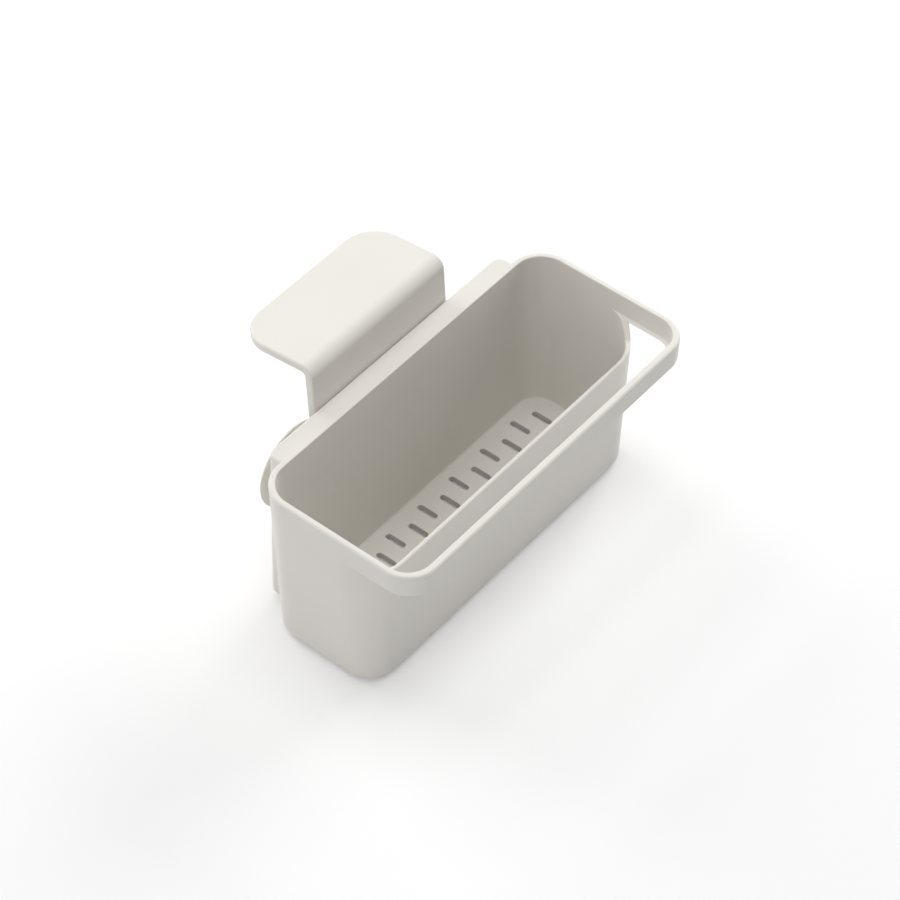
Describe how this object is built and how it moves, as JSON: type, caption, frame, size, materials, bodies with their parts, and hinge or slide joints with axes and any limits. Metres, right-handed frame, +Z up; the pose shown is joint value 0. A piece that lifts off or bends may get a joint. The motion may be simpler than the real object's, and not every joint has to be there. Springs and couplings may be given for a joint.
{
  "type": "kitchen sink caddy",
  "caption": "Draining sink caddy: a slotted tub with a towel bar in front, a sliding hook for the sink's edge and suction cups behind.",
  "frame": {"origin": "middle of the overall box, on the surface that the tub stands on", "axes": "+X along the tub, +Y towards the hook and the sink's wall, +Z up; the towel bar is on the -Y side"},
  "size_m": [0.233, 0.1708, 0.1403],
  "materials": {
    "plastic": "fine satin, moulded",
    "cup": "soft, slightly translucent"
  },
  "bodies": {
    "caddy": {"basket": "plastic", "suction_cup_left": "cup", "suction_cup_right": "cup"},
    "hook_plate": {"hook": "plastic"}
  },
  "joints": [
    {"name": "hook_slide", "type": "slide", "parent": "caddy", "child": "hook_plate", "axis": [0, 0.0698, 0.9976], "range_m": [0, 0.008]}
  ]
}
